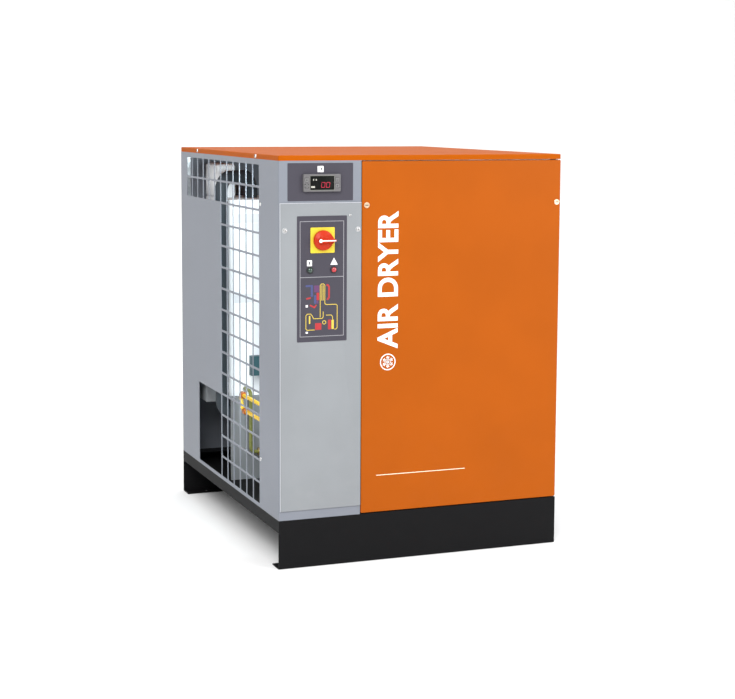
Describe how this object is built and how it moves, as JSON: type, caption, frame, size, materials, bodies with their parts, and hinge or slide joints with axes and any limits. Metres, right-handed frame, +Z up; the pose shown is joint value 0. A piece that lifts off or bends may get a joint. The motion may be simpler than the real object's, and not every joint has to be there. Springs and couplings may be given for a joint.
{
  "type": "refrigerated air dryer",
  "caption": "Floor-standing refrigerated compressed-air dryer: sheet-metal cabinet with side grilles, controller, rotary main switch, fan-cooled refrigeration circuit and air connections.",
  "frame": {"origin": "centre of the overall footprint, on the floor under the base", "axes": "+Z up, -Y the control side (front), +X the right-hand side with the cooling-air intake"},
  "size_m": [0.7372, 0.925, 0.98],
  "materials": {
    "base_paint": "satin black powder coat",
    "grey_paint": "fine-textured blue-grey powder coat",
    "orange_paint": "fine-textured orange powder coat",
    "cover_paint": "fine-textured light grey powder coat",
    "galvanised_steel": "galvanised sheet",
    "foam_grey": "open-cell acoustic foam",
    "zinc_plated_steel": "bright zinc plate",
    "label_film": "matt printed polyester film",
    "black_plastic": "fine spark-eroded texture",
    "display_window": "smooth glossy window",
    "key_plastic": "soft-touch moulded keys",
    "yellow_plastic": "satin moulded plate",
    "red_plastic": "satin moulded handle",
    "green_lens": "tinted translucent lens",
    "red_lens": "tinted translucent lens",
    "enclosure_paint": "grey powder coat",
    "terminal_plastic": "moulded polyamide",
    "compressor_paint": "gloss black enamel",
    "rubber": "moulded rubber",
    "coil_aluminium": "mill-finish fins",
    "fan_blade_metal": "black painted steel",
    "motor_paint": "black enamel",
    "insulation_white": "moulded foam shell with a smooth skin",
    "brass": "machined brass",
    "connector_steel": "turned steel",
    "copper": "drawn copper tube",
    "yellow_coating": "yellow coated pipe",
    "drier_paint": "blue enamel",
    "lever_paint": "red dipped lever",
    "hose_plastic": "polyamide tube"
  },
  "bodies": {
    "cabinet": {"base_front_rail": "base_paint", "base_rear_rail": "base_paint", "base_pan": "base_paint", "left_panel": "grey_paint", "left_grille": "grey_paint", "right_panel": "grey_paint", "right_grille": "grey_paint", "rear_panel": "grey_paint", "top_cover": "orange_paint", "control_cover": "cover_paint", "top_rails": "galvanised_steel", "cabinet_posts": "galvanised_steel", "exchanger_bracket": "galvanised_steel", "mounting_plate": "galvanised_steel", "fan_shroud": "galvanised_steel", "fastener_receptacles": "galvanised_steel", "cabinet_screws": "zinc_plated_steel", "control_cover_screws": "zinc_plated_steel", "controller_label": "label_film", "control_label": "label_film", "controller_housing": "black_plastic", "switch_body": "black_plastic", "lamp_holders": "black_plastic", "contactor": "black_plastic", "cable_gland": "black_plastic", "controller_window": "display_window", "switch_plate": "yellow_plastic", "green_lamp_lens": "green_lens", "red_lamp_lens": "red_lens", "electrical_enclosure": "enclosure_paint", "terminal_strip": "terminal_plastic", "pressure_switch": "terminal_plastic", "compressor_terminal_box": "terminal_plastic", "compressor_shell": "compressor_paint", "compressor_mounts": "rubber", "suction_line": "rubber", "condenser_coil": "coil_aluminium", "exchanger_core": "coil_aluminium", "fan_motor": "motor_paint", "exchanger_insulation": "insulation_white", "bypass_valve": "brass", "drain_valve": "brass", "air_inlet_connector": "connector_steel", "air_outlet_connector": "connector_steel", "discharge_line": "copper", "liquid_line": "copper", "bypass_line": "yellow_coating", "filter_drier": "drier_paint", "drain_line": "hose_plastic"},
    "front_door": {"front_panel": "orange_paint", "front_panel_foam": "foam_grey"},
    "left_fastener": {"panel_fastener_left": "zinc_plated_steel"},
    "right_fastener": {"panel_fastener_right": "zinc_plated_steel"},
    "main_switch": {"switch_knob": "red_plastic"},
    "fan": {"fan_rotor": "fan_blade_metal"},
    "drain_lever": {"drain_valve_lever": "lever_paint"},
    "key_left_upper": {"controller_key_left_upper": "key_plastic"},
    "key_left_lower": {"controller_key_left_lower": "key_plastic"},
    "key_right_upper": {"controller_key_right_upper": "key_plastic"},
    "key_right_lower": {"controller_key_right_lower": "key_plastic"}
  },
  "joints": [
    {"name": "front_panel_lift_off", "type": "slide", "parent": "cabinet", "child": "front_door", "axis": [0, -1, 0], "range_m": [0, 0.35]},
    {"name": "left_fastener_turn", "type": "hinge", "parent": "front_door", "child": "left_fastener", "pos_m": [-0.147, -0.4355, 0.862], "axis": [0, -1, 0], "range_deg": [0, 90]},
    {"name": "right_fastener_turn", "type": "hinge", "parent": "front_door", "child": "right_fastener", "pos_m": [0.356, -0.4355, 0.862], "axis": [0, -1, 0], "range_deg": [0, 90]},
    {"name": "main_switch_turn", "type": "hinge", "parent": "cabinet", "child": "main_switch", "pos_m": [-0.259, -0.4405, 0.782], "axis": [0, -1, 0], "range_deg": [0, 90]},
    {"name": "fan_spin", "type": "hinge", "parent": "cabinet", "child": "fan", "pos_m": [0.207, 0.04675, 0.52225], "axis": [1, 0, 0], "continuous": true},
    {"name": "drain_lever_turn", "type": "hinge", "parent": "cabinet", "child": "drain_lever", "pos_m": [-0.216, 0.1105, 0.192], "axis": [0, 0, 1], "range_deg": [-90, 0]},
    {"name": "key_left_upper_press", "type": "slide", "parent": "cabinet", "child": "key_left_upper", "axis": [0, 1, 0], "range_m": [0, 0.0008], "stiffness_N_per_m": 1500, "springref_m": -0.0003},
    {"name": "key_left_lower_press", "type": "slide", "parent": "cabinet", "child": "key_left_lower", "axis": [0, 1, 0], "range_m": [0, 0.0008], "stiffness_N_per_m": 1500, "springref_m": -0.0003},
    {"name": "key_right_upper_press", "type": "slide", "parent": "cabinet", "child": "key_right_upper", "axis": [0, 1, 0], "range_m": [0, 0.0008], "stiffness_N_per_m": 1500, "springref_m": -0.0003},
    {"name": "key_right_lower_press", "type": "slide", "parent": "cabinet", "child": "key_right_lower", "axis": [0, 1, 0], "range_m": [0, 0.0008], "stiffness_N_per_m": 1500, "springref_m": -0.0003}
  ]
}
